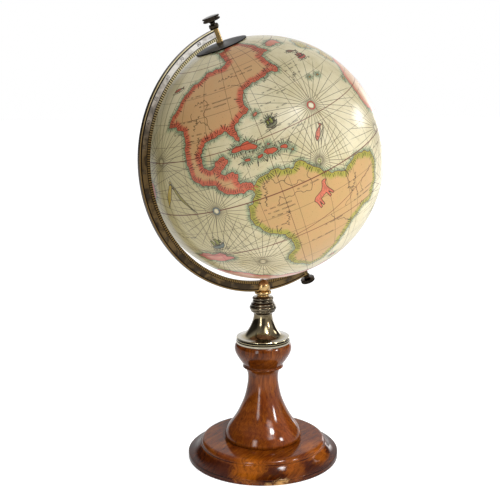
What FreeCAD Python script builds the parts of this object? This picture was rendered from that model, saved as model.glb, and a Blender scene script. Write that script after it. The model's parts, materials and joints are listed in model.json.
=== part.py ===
import FreeCAD, Part
import math
import os

from FreeCAD import Vector

# Desktop globe on a turned stand. Millimetres, Z up, origin at the centre of the
# rest face. The meridian arc lies in the XZ plane; the north pole leans to -X.

# Globe
GLOBE_R = 150.0
SHELL_T = 3.0
MAP_T = 0.3
TILT = 23.5
CENTRE_Z = 390.3
SEAM_RING_H = 18.0
SEAM_RING_R = 142.0

# Meridian arc
ARC_IN = 154.9
ARC_OUT = 168.6
ARC_T = 5.0
RIM_LINE_R = 166.2
SCALE_LINE_R = 158.9
LINE_DEPTH = 0.3
TICK_STEP = 5

# Pole hardware, measured outwards from the globe centre along the axis
PIN_R = 2.5
RUN_CLEAR = 0.05
BUSH_R = 5.0
BUSH_FLANGE_R = 9.0
BUSH_IN = 143.5
BUSH_OUT = 150.15
SLEEVE_IN = 152.1
NORTH_SLEEVE_R = 4.2
SOUTH_SLEEVE_R = 3.6
DIAL_R = 31.5
DIAL_IN = 150.5
DIAL_OUT = 151.7

# Stand
BASE_R = 98.4
BASE_TOP = 25.0
RIM_GAP = 0.5
FELT_R = 90.5
FELT_T = 1.8
SPIGOT_R = 16.0
SPIGOT_Z = 17.0
WELL_R = 14.0
WELL_TOP = 10.5
COLUMN_TOP = 153.4
CAP_TOP = 191.0
BEAD_SPLIT = 197.1
BEAD_TOP = 206.4
COLLAR_TOP = 214.9
ROD_R = 4.0
ROD_HOLE_R = 4.2
ROD_LOW = 2.6
ROD_HIGH = 217.0
BALL_R = 9.4
BALL_Z = 227.3
GRUB_R = 2.0
GRUB_Z = 228.5

FULL = 360


def outline(start, *steps):
    """Edges in the XZ plane. A step is a point, ("arc", mid, end) or ("flow", points)."""
    edges = []
    here = Vector(start[0], 0, start[1])
    for step in steps:
        if step[0] == "arc":
            mid = Vector(step[1][0], 0, step[1][1])
            end = Vector(step[2][0], 0, step[2][1])
            edges.append(Part.Arc(here, mid, end).toShape())
        elif step[0] == "flow":
            points = [here] + [Vector(r, 0, z) for r, z in step[1]]
            curve = Part.BSplineCurve()
            curve.interpolate(points)
            edges.append(curve.toShape())
            end = points[-1]
        else:
            end = Vector(step[0], 0, step[1])
            edges.append(Part.makeLine(here, end))
        here = end
    first = Vector(start[0], 0, start[1])
    if here.distanceToPoint(first) > 1e-6:
        edges.append(Part.makeLine(here, first))
    return edges


def turned(start, *steps):
    """Solid of revolution about Z."""
    face = Part.Face(Part.Wire(outline(start, *steps)))
    return face.revolve(Vector(0, 0, 0), Vector(0, 0, 1), FULL)


def disc(r_out, z0, z1, r_in=0.0):
    """Flat ring or disc about Z."""
    body = Part.makeCylinder(r_out, z1 - z0, Vector(0, 0, z0))
    if r_in > 0:
        body = body.cut(Part.makeCylinder(r_in, z1 - z0, Vector(0, 0, z0)))
    return body


def on_axis(shape, north=True):
    """Moves a shape drawn along Z from the globe centre onto the tilted axis."""
    moved = shape.copy()
    angle = -TILT if north else 180 - TILT
    moved.rotate(Vector(0, 0, 0), Vector(0, 1, 0), angle)
    moved.translate(Vector(0, 0, CENTRE_Z))
    return moved


def toothed(radius, depth, teeth, z0, z1):
    """Prism with a saw-edged outline, for knurling."""
    points = []
    for i in range(2 * teeth + 1):
        angle = math.pi * i / teeth
        reach = radius - depth * (i % 2)
        points.append(Vector(reach * math.cos(angle), reach * math.sin(angle), z0))
    return Part.Face(Part.makePolygon(points)).extrude(Vector(0, 0, z1 - z0))


# ---------------------------------------------------------------- stand

def base_plinth():
    body = turned(
        (ROD_HOLE_R, RIM_GAP),
        (BASE_R - 0.6, RIM_GAP),
        (BASE_R, RIM_GAP + 0.7),
        (BASE_R, 6.0),
        (BASE_R - 0.6, 6.3),
        (BASE_R, 6.7),
        (BASE_R, 7.4),
        ("arc", (BASE_R - 0.15, 7.8), (BASE_R - 0.6, 8.0)),
        ("flow", [(93.5, 9.2), (88.6, 11.8), (84.6, 16.2), (82.4, 18.6)]),
        (82.2, 19.4),
        (81.2, 19.7),
        ("arc", (79.6, 23.4), (75.8, BASE_TOP)),
        (ROD_HOLE_R, BASE_TOP),
    )
    body = body.cut(disc(FELT_R + 0.3, 0, FELT_T))
    body = body.cut(disc(WELL_R, 0, WELL_TOP))
    return body.cut(disc(SPIGOT_R + 0.1, SPIGOT_Z, BASE_TOP + 1))


def base_felt():
    return disc(FELT_R, 0, FELT_T)


def column():
    return turned(
        (ROD_HOLE_R, SPIGOT_Z),
        (SPIGOT_R, SPIGOT_Z),
        (SPIGOT_R, BASE_TOP),
        (48.6, BASE_TOP),
        ("arc", (50.1, 27.4), (50.2, 30.2)),
        ("flow", [(46.2, 39.5), (38.0, 51.0), (30.5, 64.5), (24.5, 79.0), (21.0, 93.5),
                  (19.6, 105.0), (20.4, 114.0), (22.8, 119.4)]),
        (25.4, 120.9),
        ("arc", (26.3, 121.5), (25.4, 122.2)),
        (24.6, 122.6),
        (24.6, 123.6),
        ("flow", [(27.4, 127.4), (33.4, 136.4), (36.7, 145.0), (36.4, 150.0),
                  (34.8, COLUMN_TOP)]),
        (30.0, COLUMN_TOP),
        (30.0, COLUMN_TOP + 3.4),
        (ROD_HOLE_R, COLUMN_TOP + 3.4),
    )


def tie_rod():
    body = disc(ROD_R, ROD_LOW, ROD_HIGH)
    return body.makeChamfer(0.5, [body.Edges[0], body.Edges[2]])


def tie_rod_washer():
    return disc(11.0, WELL_TOP - 1.6, WELL_TOP, ROD_HOLE_R)


def tie_rod_nut():
    corner = 6.5 / math.cos(math.radians(30))
    points = [Vector(corner * math.cos(math.radians(60 * i)),
                     corner * math.sin(math.radians(60 * i)), WELL_TOP - 7.9) for i in range(7)]
    body = Part.Face(Part.makePolygon(points)).extrude(Vector(0, 0, 6.3))
    cone = turned((0, WELL_TOP - 8.4), (6.1, WELL_TOP - 8.4), (9.0, WELL_TOP - 6.8),
                  (9.0, WELL_TOP), (0, WELL_TOP))
    return body.common(cone).cut(disc(ROD_R, 0, WELL_TOP))


def trumpet_cap():
    """Hollow cast cap: a two-step flange and a concave flare, bored at its neck."""
    return turned(
        (30.2, COLUMN_TOP),
        (34.2, COLUMN_TOP),
        ("arc", (34.8, 153.7), (34.9, 154.2)),
        (34.9, 156.0),
        (34.0, 156.6),
        (34.0, 157.2),
        (34.6, 157.8),
        (34.6, 160.6),
        ("arc", (34.3, 161.3), (33.4, 161.7)),
        ("flow", [(28.5, 162.6), (24.0, 165.0), (20.2, 169.0), (17.0, 174.0), (14.4, 179.8),
                  (12.7, 185.0), (12.0, CAP_TOP)]),
        (ROD_HOLE_R, CAP_TOP),
        (ROD_HOLE_R, 183.0),
        (10.4, 183.0),
        ("flow", [(12.2, 177.6), (14.8, 171.8), (18.0, 166.8), (22.0, 162.8), (26.5, 160.3), (30.2, 159.4)]),
    )


def bead_lower():
    return turned(
        (ROD_HOLE_R, CAP_TOP),
        (12.2, CAP_TOP),
        (12.2, 192.0),
        ("arc", (13.2, 193.5), (14.9, 194.6)),
        ("arc", (15.8, 195.6), (15.7, BEAD_SPLIT)),
        (ROD_HOLE_R, BEAD_SPLIT),
    )


def bead_upper():
    return turned(
        (ROD_HOLE_R, BEAD_SPLIT),
        (16.2, BEAD_SPLIT),
        ("arc", (17.4, 200.0), (16.3, 202.8)),
        (15.4, 203.1),
        ("arc", (15.5, 204.9), (14.2, BEAD_TOP)),
        (ROD_HOLE_R, BEAD_TOP),
    )


def collar_disc():
    return turned(
        (ROD_HOLE_R, BEAD_TOP),
        (12.7, BEAD_TOP),
        ("arc", (13.4, 208.2), (12.9, 210.1)),
        (12.5, 210.3),
        (13.0, 210.7),
        ("arc", (13.7, 212.2), (12.4, 214.2)),
        (9.6, COLLAR_TOP),
        (ROD_HOLE_R, COLLAR_TOP),
    )


def clamp_body():
    """Necked ball with a slot that takes the meridian arc from above."""
    reach = math.sqrt(BALL_R ** 2 - (BALL_Z - 222.0) ** 2)
    body = turned(
        (0, COLLAR_TOP),
        (8.2, COLLAR_TOP),
        ("arc", (7.5, 216.3), (8.4, 217.8)),
        (10.3, 218.1),
        ("arc", (10.9, 219.6), (10.3, 221.3)),
        (reach, 222.0),
        ("arc", (BALL_R, BALL_Z), (BALL_R * math.cos(math.radians(80)),
                                   BALL_Z + BALL_R * math.sin(math.radians(80)))),
        (0, BALL_Z + BALL_R * math.sin(math.radians(80))),
    )
    body = body.cut(disc(ROD_R, COLLAR_TOP - 1, ROD_HIGH + 0.2))
    body = body.cut(arc_bar(ARC_IN - 8, ARC_OUT, ARC_T))
    hole = Part.makeCylinder(GRUB_R, BALL_R + 2, Vector(0, 0, GRUB_Z), Vector(0, 1, 0))
    return body.cut(hole)


def clamp_grub():
    """Slotted set screw that bears on the back of the arc."""
    top = BALL_R - 1.1
    body = Part.makeCylinder(GRUB_R, top - ARC_T / 2, Vector(0, ARC_T / 2, GRUB_Z), Vector(0, 1, 0))
    slot = Part.makeBox(2 * GRUB_R + 1, 1.2, 0.7, Vector(-GRUB_R - 0.5, top - 1.2, GRUB_Z - 0.35))
    return body.cut(slot)


# ---------------------------------------------------------------- meridian arc

def ring_y(r_in, r_out, y0, y1):
    """Ring about the Y axis through the globe centre."""
    centre = Vector(0, y0, CENTRE_Z)
    body = Part.makeCylinder(r_out, y1 - y0, centre, Vector(0, 1, 0))
    return body.cut(Part.makeCylinder(r_in, y1 - y0, centre, Vector(0, 1, 0)))


def arc_bar(r_in, r_out, thick):
    """Half ring on the -X side of the tilted axis."""
    body = ring_y(r_in, r_out, -thick / 2, thick / 2)
    half = Part.makeBox(200, 40, 400, Vector(-200, -20, -200))
    return body.common(on_axis(half))


def scale_cuts():
    """Engraved lines and five-degree ticks on both faces."""
    cuts = []
    for side in (-1, 1):
        y0 = min(side * ARC_T / 2, side * (ARC_T / 2 - LINE_DEPTH))
        cuts.append(ring_y(RIM_LINE_R - 0.4, RIM_LINE_R + 0.4, y0, y0 + LINE_DEPTH))
        cuts.append(ring_y(SCALE_LINE_R - 0.2, SCALE_LINE_R + 0.2, y0, y0 + LINE_DEPTH))
        for angle in range(TICK_STEP, 180, TICK_STEP):
            tick = Part.makeBox(0.4, LINE_DEPTH, SCALE_LINE_R - ARC_IN - 1.0,
                                Vector(-0.2, y0, ARC_IN + 0.8))
            tick.rotate(Vector(0, 0, 0), Vector(0, 1, 0), -angle)
            cuts.append(on_axis(tick))
    return Part.makeCompound(cuts)


def meridian_arc():
    body = arc_bar(ARC_IN, ARC_OUT, ARC_T)
    body = body.cut(on_axis(disc(NORTH_SLEEVE_R, SLEEVE_IN - 5, ARC_OUT + 5)))
    body = body.cut(on_axis(disc(SOUTH_SLEEVE_R, SLEEVE_IN - 5, ARC_OUT + 5), False))
    return body.cut(scale_cuts())


# ---------------------------------------------------------------- pole hardware

def sleeve(radius):
    return disc(radius, SLEEVE_IN, ARC_OUT, PIN_R + 0.1)


def pin(top):
    body = disc(PIN_R, BUSH_IN + 0.5, top)
    return body.makeChamfer(0.6, [body.Edges[2]])


def bushing():
    """Flanged bush glued in from inside the shell."""
    return turned(
        (PIN_R + RUN_CLEAR, BUSH_IN),
        (BUSH_FLANGE_R, BUSH_IN),
        (BUSH_FLANGE_R, BUSH_IN + 2.4),
        (BUSH_R, BUSH_IN + 2.9),
        (BUSH_R, BUSH_OUT),
        (PIN_R + RUN_CLEAR, BUSH_OUT),
    )


def neck_ring(low, high, radius):
    """Domed ring between the arc end and the thumb knob."""
    mid = (low + high) / 2
    return turned(
        (PIN_R, low),
        (radius - 0.9, low),
        ("arc", (radius, mid), (radius - 0.9, high)),
        (PIN_R, high),
    )


def thumb_knob(low, radius, thick, seat):
    """Knurled knob with a waist groove, a domed top and a short neck below."""
    top = low + thick
    mid = low + thick * 0.5
    dome_edge = radius - 1.0
    dome_r = (dome_edge ** 2 + 1) / 2
    dome_mid = math.sqrt(dome_r ** 2 - dome_edge ** 2 / 4) - dome_r + 1
    body = turned(
        (0, seat + 1.6),
        (PIN_R, seat + 1.6),
        (PIN_R, seat),
        (3.3, seat),
        ("arc", (3.7, low - 0.9), (5.6, low)),
        (radius - 0.8, low + 0.3),
        ("arc", (radius, low + 1.1), (radius - 0.3, mid - 0.6)),
        (radius - 1.1, mid - 0.3),
        (radius - 1.1, mid + 0.3),
        (radius - 0.3, mid + 0.6),
        ("arc", (radius, top - 1.5), (dome_edge, top - 0.7)),
        ("arc", (dome_edge / 2, top - 0.7 + dome_mid), (0, top + 0.3)),
    )
    return body.common(toothed(radius + 0.02, 0.45, 48, seat - 1, top + 1))


def hour_dial():
    """Thin spun cap that follows the globe and turns on the north pin."""
    rim_in = math.sqrt(DIAL_IN ** 2 - DIAL_R ** 2)
    rim_out = math.sqrt(DIAL_OUT ** 2 - DIAL_R ** 2)
    half = DIAL_R / 2
    bore = PIN_R + RUN_CLEAR
    return turned(
        (bore, math.sqrt(DIAL_IN ** 2 - bore ** 2)),
        ("arc", (half, math.sqrt(DIAL_IN ** 2 - half ** 2)), (DIAL_R, rim_in)),
        ("arc", (DIAL_R + 0.5, (rim_in + rim_out) / 2), (DIAL_R, rim_out)),
        ("arc", (half, math.sqrt(DIAL_OUT ** 2 - half ** 2)),
         (bore, math.sqrt(DIAL_OUT ** 2 - bore ** 2))),
    )


# ---------------------------------------------------------------- globe

def half_shell(r_out, r_in, hole_r):
    """Half of a hollow ball above the equator, bored at the pole."""
    slope = math.radians(45)
    hole_out = math.sqrt(r_out ** 2 - hole_r ** 2)
    hole_in = math.sqrt(r_in ** 2 - hole_r ** 2)
    return turned(
        (r_in, 0),
        (r_out, 0),
        ("arc", (r_out * math.cos(slope), r_out * math.sin(slope)), (hole_r, hole_out)),
        (hole_r, hole_in),
        ("arc", (r_in * math.cos(slope), r_in * math.sin(slope)), (r_in, 0)),
    )


def seam_ring():
    """Strip glued inside the seam between the two half shells."""
    r_in = GLOBE_R - MAP_T - SHELL_T
    half = SEAM_RING_H / 2
    edge = math.sqrt(r_in ** 2 - half ** 2)
    return turned(
        (SEAM_RING_R, -half),
        (edge, -half),
        ("arc", (r_in, 0), (edge, half)),
        (SEAM_RING_R, half),
    )


def globe_parts():
    core = half_shell(GLOBE_R - MAP_T, GLOBE_R - MAP_T - SHELL_T, BUSH_R)
    skin = half_shell(GLOBE_R, GLOBE_R - MAP_T, BUSH_R)
    return {
        "north_half_shell": on_axis(core),
        "south_half_shell": on_axis(core, False),
        "north_map_skin": on_axis(skin),
        "south_map_skin": on_axis(skin, False),
        "seam_ring": on_axis(seam_ring()),
        "north_bushing": on_axis(bushing()),
        "south_bushing": on_axis(bushing(), False),
    }


def stand_parts():
    return {
        "base_plinth": base_plinth(),
        "base_felt": base_felt(),
        "column": column(),
        "tie_rod": tie_rod(),
        "tie_rod_washer": tie_rod_washer(),
        "tie_rod_nut": tie_rod_nut(),
        "trumpet_cap": trumpet_cap(),
        "bead_lower": bead_lower(),
        "bead_upper": bead_upper(),
        "collar_disc": collar_disc(),
        "clamp_body": clamp_body(),
        "clamp_grub": clamp_grub(),
        "meridian_arc": meridian_arc(),
    }


def pole_parts():
    return {
        "north_sleeve": on_axis(sleeve(NORTH_SLEEVE_R)),
        "south_sleeve": on_axis(sleeve(SOUTH_SLEEVE_R), False),
        "north_pin": on_axis(pin(176.0)),
        "south_pin": on_axis(pin(173.2), False),
        "north_neck_ring": on_axis(neck_ring(ARC_OUT, 174.4, 6.0)),
        "south_neck_ring": on_axis(neck_ring(ARC_OUT, 171.6, 4.9), False),
        "north_knob": on_axis(thumb_knob(177.6, 10.4, 6.4, 174.4)),
        "south_knob": on_axis(thumb_knob(173.6, 9.3, 6.0, 171.6), False),
        "hour_dial": on_axis(hour_dial()),
    }


os.makedirs("parts", exist_ok=True)
for group in (stand_parts(), pole_parts(), globe_parts()):
    for name, shape in group.items():
        shape.exportStep("parts/%s.step" % name)
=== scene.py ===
import json
import math
import random

import bpy
import numpy as np
from mathutils import Matrix, Vector, kdtree


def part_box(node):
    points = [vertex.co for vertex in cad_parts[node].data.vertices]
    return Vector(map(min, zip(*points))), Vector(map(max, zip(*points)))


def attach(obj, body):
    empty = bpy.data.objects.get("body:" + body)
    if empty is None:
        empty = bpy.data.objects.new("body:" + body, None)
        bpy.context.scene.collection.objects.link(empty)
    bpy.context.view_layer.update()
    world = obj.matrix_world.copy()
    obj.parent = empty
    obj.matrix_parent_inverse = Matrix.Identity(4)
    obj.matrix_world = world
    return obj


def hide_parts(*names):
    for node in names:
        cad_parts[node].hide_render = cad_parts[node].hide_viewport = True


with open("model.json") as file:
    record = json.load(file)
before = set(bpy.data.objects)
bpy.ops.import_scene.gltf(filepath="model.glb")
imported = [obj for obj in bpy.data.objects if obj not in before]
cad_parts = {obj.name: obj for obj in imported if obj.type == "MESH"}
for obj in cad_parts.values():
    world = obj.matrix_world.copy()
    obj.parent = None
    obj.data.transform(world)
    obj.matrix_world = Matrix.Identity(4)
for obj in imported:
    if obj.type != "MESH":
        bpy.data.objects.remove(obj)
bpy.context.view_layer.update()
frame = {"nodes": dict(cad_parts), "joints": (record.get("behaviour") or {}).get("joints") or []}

# Looks of the desktop globe. Metres, in the frame's own axes. The sphere, its axis and the
# arc come from the frame; millimetres are turned into metres with MM. RADIUS_MM is the ball's
# design radius and DEG_MM the length of a degree on it, for patterns drawn on the ball.
MM = 0.001
NODES = frame["nodes"]
SPIN = next(j for j in frame["joints"] if j["name"] == "globe_spin")
CENTRE = Vector(SPIN["pos_m"])
NORTH = Vector(SPIN["axis"]).normalized()
UP = Vector((0, 0, 1))
ZERO = Vector((0, -1, 0))
EAST = NORTH.cross(ZERO)
SKIN_BOXES = [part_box("north_map_skin")[1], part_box("south_map_skin")[1]]
BALL_R = min(SKIN_BOXES[0].y, max(far.x for far in SKIN_BOXES))
RADIUS_MM = 150
DEG_MM = math.pi / 180 * RADIUS_MM
FRONT_YAW = math.radians(32.34)
TOWARDS_FRONT = Vector((-math.sin(FRONT_YAW), -math.cos(FRONT_YAW), 0))
FRONT_RIGHT = Vector((math.cos(FRONT_YAW), -math.sin(FRONT_YAW), 0))


# ---------------------------------------------------------------- shader graphs

def operator(operation, swapped=False):
    """A method that turns one of Python's operators into a math node."""
    def apply(self, *other):
        return self.graph.math(operation, *((*other, self) if swapped else (self, *other)))
    return apply


class Signal:
    """The output of a node, which Python's own operators can add, scale and so on."""

    def __init__(self, graph, socket):
        self.graph, self.socket = graph, socket

    __add__, __radd__ = operator("ADD"), operator("ADD", True)
    __sub__, __rsub__ = operator("SUBTRACT"), operator("SUBTRACT", True)
    __mul__, __rmul__ = operator("MULTIPLY"), operator("MULTIPLY", True)
    __truediv__, __abs__ = operator("DIVIDE"), operator("ABSOLUTE")


class Graph:
    """A node tree of a material or of the world, with short calls for the nodes they share."""

    def __init__(self, name, owner=None):
        self.owner = owner or bpy.data.materials.new(name)
        self.owner.use_nodes = True
        self.nodes, self.links = self.owner.node_tree.nodes, self.owner.node_tree.links
        self.position = self.make("ShaderNodeTexCoord", output="Generated" if owner else "Object")

    def make(self, kind, inputs=(), output=0, **settings):
        """A new node's output. inputs are (socket name or number, value) pairs."""
        node = self.nodes.new(kind)
        for name, value in settings.items():
            setattr(node, name, value)
        for name, value in inputs:
            self.feed(node.inputs[name], value)
        return Signal(self, node.outputs[output])

    def feed(self, socket, value):
        if isinstance(value, Signal):
            self.links.new(value.socket, socket)
        elif isinstance(value, (Vector, tuple, list)) and socket.type == "RGBA":
            socket.default_value = tuple(value)[:3] + (1,)
        else:
            socket.default_value = value

    def math(self, operation, *values):
        return self.make("ShaderNodeMath", enumerate(values), operation=operation)

    def vector(self, operation, *values):
        output = "Value" if operation in ("DOT_PRODUCT", "LENGTH", "DISTANCE") else "Vector"
        names = (0, "Scale") if operation == "SCALE" else (0, 1)
        return self.make("ShaderNodeVectorMath", zip(names, values), output, operation=operation)

    def dot(self, a, b):
        return self.vector("DOT_PRODUCT", a, b)

    def combine(self, x, y, z):
        return self.make("ShaderNodeCombineXYZ", enumerate((x, y, z)))

    def step(self, value, low, high, at_low=0, at_high=1):
        """A smooth step of value from low to high."""
        names = ("Value", "From Min", "From Max", "To Min", "To Max")
        values = (value, low, high, at_low, at_high)
        return self.make("ShaderNodeMapRange", zip(names, values), "Result", interpolation_type="SMOOTHSTEP")

    def mix(self, share, a, b, blend="MIX"):
        inputs = [(0, share), (6, a), (7, b)]
        return self.make("ShaderNodeMix", inputs, 2, data_type="RGBA", blend_type=blend)

    def noise(self, place, scale, detail=3, roughness=0.55, distortion=0):
        names = ("Vector", "Scale", "Detail", "Roughness", "Distortion")
        values = (place, scale, detail, roughness, distortion)
        return self.make("ShaderNodeTexNoise", zip(names, values), "Fac")

    def chance(self, value):
        """A random number from 0 to 1 for each whole number of value."""
        return self.make("ShaderNodeTexWhiteNoise", [("W", self.math("FLOOR", value))], "Value",
                         noise_dimensions="1D")

    def ramp(self, value, *stops):
        ramp = self.make("ShaderNodeValToRGB", [(0, value)])
        elements = ramp.socket.node.color_ramp.elements
        while len(elements) < len(stops):
            elements.new(0.5)
        for element, (place, colour) in zip(elements, stops):
            element.position = place
            element.color = tuple(colour) + (1,)
        return ramp

    def attribute(self, name, output="Fac"):
        return self.make("ShaderNodeAttribute", output=output, attribute_name=name)

    def band(self, value, half_width, soft):
        """1 where value is near zero, falling to 0 over soft beyond half_width."""
        return self.step(abs(value), half_width + soft, half_width)

    def bump(self, height, strength, distance):
        inputs = [("Strength", strength), ("Distance", distance), ("Height", height)]
        normal = self.make("ShaderNodeBump", inputs)
        self.feed(self.nodes["Principled BSDF"].inputs["Normal"], normal)

    def paint(self, share, tone, blend="MIX"):
        """Lays share of a tone over the colour so far."""
        self.colour = self.mix(share, self.colour, tone, blend)

    def finish(self, **inputs):
        """The material, with the colour so far and the given inputs of its shader."""
        for name, value in {"Base_Color": self.colour, **inputs}.items():
            self.feed(self.nodes["Principled BSDF"].inputs[name.replace("_", " ")], value)
        return self.owner


def add_object(name, data, **settings):
    """A new object in the scene, holding data with the given settings."""
    for key, value in settings.items():
        setattr(data, key, value)
    thing = bpy.data.objects.new(name, data)
    bpy.context.scene.collection.objects.link(thing)
    return thing


def rgb(red, green, blue):
    """A colour given as 0-255 screen values, as the shader wants it."""
    return tuple(((c / 255 + 0.055) / 1.055) ** 2.4 if c > 10 else c / 3294.6 for c in (red, green, blue))


# ---------------------------------------------------------------- wood

WOOD_DARK = rgb(46, 18, 4)
WOOD_RED = rgb(86, 39, 5)
WOOD_BROWN = rgb(108, 58, 12)
WOOD_AMBER = rgb(166, 98, 28)
WOOD_PALE = rgb(174, 132, 78)
# Height and half width of the plinth's turned creases, darkened with painted shade.
SHADED_CREASES_MM = [(6.35, 0.42), (19.1, 0.3)]


def wood(name, grain, pith, ring_mm, gloss, swirl, patches, shade_below_mm=None):
    """Gloss-varnished figured wood cut from a log whose grain runs along grain and whose pith
    passes through pith (mm). patches are (centre mm, radius mm, colour, strength) tone spots. Below
    the given rim height the wood is darkened with painted shade. A larger swirl bends the rings more."""
    g = Graph(name)
    place = g.vector("SCALE", g.position, 1000)
    grain = Vector(grain).normalized()
    side = grain.orthogonal().normalized()
    other = grain.cross(side)
    local = g.vector("SUBTRACT", place, Vector(pith))
    along = g.dot(local, grain)
    across, depth = g.dot(local, side), g.dot(local, other)
    stretched = g.combine(across, depth, along * 0.16)
    flow = g.noise(stretched, 0.022, 4, 0.6, 0.6)
    curl = g.noise(stretched, 0.075, 3, 0.55, 1.2)
    radius = g.vector("LENGTH", g.combine(across, depth, along * 0.02))
    rings = radius / ring_mm + (flow * swirl + curl * 0.45)
    phase = g.math("FRACT", rings)
    ring = g.step(phase, 0, 0.62) * g.step(phase, 0.98, 0.8)
    year = g.chance(rings)
    fibres = g.noise(g.combine(across, depth, along * 0.035), 1.15, 4, 0.7)
    pores = g.noise(g.combine(across, depth, along * 0.05), 2.3, 2, 0.5)
    streaks = g.noise(g.combine(across, depth, along * 0.09), 0.2, 3, 0.6, 0.8)
    tone = ring * 0.06 + streaks * 0.52 + (fibres * 0.46 + year * 0.05)
    g.colour = g.ramp(tone, (0.34, WOOD_DARK), (0.53, WOOD_RED), (0.68, WOOD_BROWN), (0.87, WOOD_AMBER))
    veins = g.noise(g.combine(across, depth, along * 0.07), 0.42, 3, 0.6, 0.8)
    g.paint(g.step(veins, 0.53, 0.62, 0, 0.6), WOOD_DARK)
    figure = g.noise(place, 0.016, 3, 0.6, 0.4)
    g.paint(g.step(figure, 0.45, 0.75, 0, 0.4), WOOD_AMBER, "OVERLAY")
    g.paint(g.step(figure, 0.5, 0.24, 0, 0.6), rgb(84, 34, 14))
    if shade_below_mm:
        # Painted shade: below the rim height the wood colour is multiplied darker.
        height = g.dot(place, UP)
        rim_shade = g.step(height, shade_below_mm, shade_below_mm - 3, 0, 0.9)
        g.paint(rim_shade, rgb(140, 112, 88), "MULTIPLY")
        for middle, half_width in SHADED_CREASES_MM:
            # Painted shade: a near-black line along each crease.
            crease_shade = g.band(height - middle, half_width, 0.35)
            g.paint(crease_shade * 0.9, rgb(24, 9, 4))
    for centre, reach, patch_colour, strength in patches:
        distance = g.vector("DISTANCE", place, Vector(centre))
        edge = distance + (streaks - 0.5) * (reach * 1.6)
        share = g.step(edge, reach * 0.4, reach, strength, 0)
        grained = g.mix(g.step(tone, 0.34, 0.68), tuple(c * 0.34 for c in patch_colour), patch_colour)
        g.paint(share, grained)
    pore_share = g.step(pores, 0.62, 0.74, 0, 0.55)
    g.paint(pore_share, rgb(34, 13, 6))
    g.bump(fibres - pore_share, 0.05, 0.0002)
    return g.finish(Roughness=0.3 + fibres * 0.16, Specular_IOR_Level=0,
                    Coat_Weight=gloss, Coat_Roughness=0.085, Coat_IOR=1.38)


def on_front(angle_deg, radius, height):
    """A point of the stand, angle_deg to the right of its front, in mm."""
    angle = math.radians(angle_deg)
    flat = TOWARDS_FRONT * math.cos(angle) + FRONT_RIGHT * math.sin(angle)
    return (flat.x * radius, flat.y * radius, height)


def plinth_wood():
    return wood(
        "plinth_wood", grain=(0.91, 0.4, 0.12), pith=(18, 26, -34), ring_mm=4.6, shade_below_mm=19,
        gloss=0.5, swirl=6,
        patches=[
            (on_front(-12, 86, 15), 28, rgb(156, 84, 15), 0.6),
            (on_front(-34, 90, 18), 12, rgb(70, 30, 10), 0.45),
            (on_front(-2, 94, 8), 9, rgb(64, 27, 9), 0.45),
            (on_front(9, 88, 18), 9, rgb(60, 26, 10), 0.45),
            (on_front(26, 90, 14), 20, rgb(146, 76, 16), 0.5),
            (on_front(60, 78, 20), 26, rgb(164, 88, 20), 0.5),
            (on_front(13, 100, -2), 14, WOOD_PALE, 0.95),
            (on_front(4, 100, -3), 10, WOOD_PALE, 0.9),
        ],
    )


def column_wood():
    return wood(
        "column_wood", grain=(0.04, -0.03, 1), pith=(34, 22, 0), ring_mm=4.2, gloss=0.68, swirl=5,
        patches=[
            (on_front(34, 42, 46), 30, rgb(112, 50, 12), 0.6),
            (on_front(-58, 36, 60), 30, rgb(120, 62, 24), 0.5),
            (on_front(20, 34, 137), 15, rgb(176, 100, 40), 0.3),
            (on_front(0, 20, 108), 22, rgb(136, 76, 38), 0.35),
            (on_front(0, 34, 134), 40, rgb(84, 40, 10), 0.45),
        ],
    )


# ---------------------------------------------------------------- metals

def metal(name, base, dark, bright, roughness, tarnish, coarse):
    """Aged brass: mottled tarnish between a dark and a bright tone of the base, with fine wear."""
    g = Graph(name)
    cloud = g.noise(g.position, coarse, 4, 0.62, 0.3)
    grit = g.noise(g.position, coarse * 14, 3, 0.6)
    g.colour = g.mix(g.step(cloud, 0.34, 0.62), dark, base)
    g.paint(g.step(grit, 0.52, 0.76, 0, tarnish), bright)
    g.paint(g.step(cloud, 0.62, 0.8, 0, 0.5), bright)
    g.bump(cloud + grit * 0.3, 0.08, 0.0003)
    return g.finish(Metallic=1, Roughness=roughness + grit * 0.14)


# Height, half width and tone of each painted reflection line, light or dark, on the cap's turned flange,
# from the wood up.
FLANGE_REFLECTION_BANDS_MM = [(155.2, 0.7, rgb(176, 168, 148)), (156.9, 0.6, rgb(14, 11, 8)),
                   (157.9, 0.2, rgb(206, 190, 148)), (159.5, 1.15, rgb(30, 25, 18)),
                   (161.1, 0.25, rgb(214, 204, 168))]


def cap_metal():
    """Polished cast bronze, darker in the bell, with painted reflections on the flange: a pale grey wash and
    light and dark lines.
    """
    g = Graph("cap_polished_bronze")
    height = g.dot(g.position, UP) * 1000
    cloud = g.noise(g.position, 45, 4, 0.62, 0.3)
    grit = g.noise(g.position, 700, 3, 0.6)
    g.colour = g.mix(g.step(cloud, 0.34, 0.66), rgb(92, 80, 58), rgb(150, 138, 110))
    # Painted reflection: the flange below the bell is washed pale grey.
    g.paint(g.step(height, 161.8, 163.2, 0.7, 0), rgb(160, 156, 146))
    # Painted reflections: light and dark lines round the flange.
    for middle, half_width, tone in FLANGE_REFLECTION_BANDS_MM:
        g.paint(g.band(height - middle, half_width, 0.25), tone)
    g.paint(g.step(grit, 0.55, 0.8, 0, 0.3), rgb(52, 44, 32))
    g.bump(cloud + grit * 0.3, 0.05, 0.0003)
    return g.finish(Metallic=1, Roughness=0.07 + grit * 0.1)


# Radii of the arc's ruled lines, and where the gold rim and the dark outer edge begin.
SCALE_LINE_MM, RULE_MM, RIM_FROM_MM, EDGE_FROM_MM = 158.9, 166.2, 167, 168.1


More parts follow.
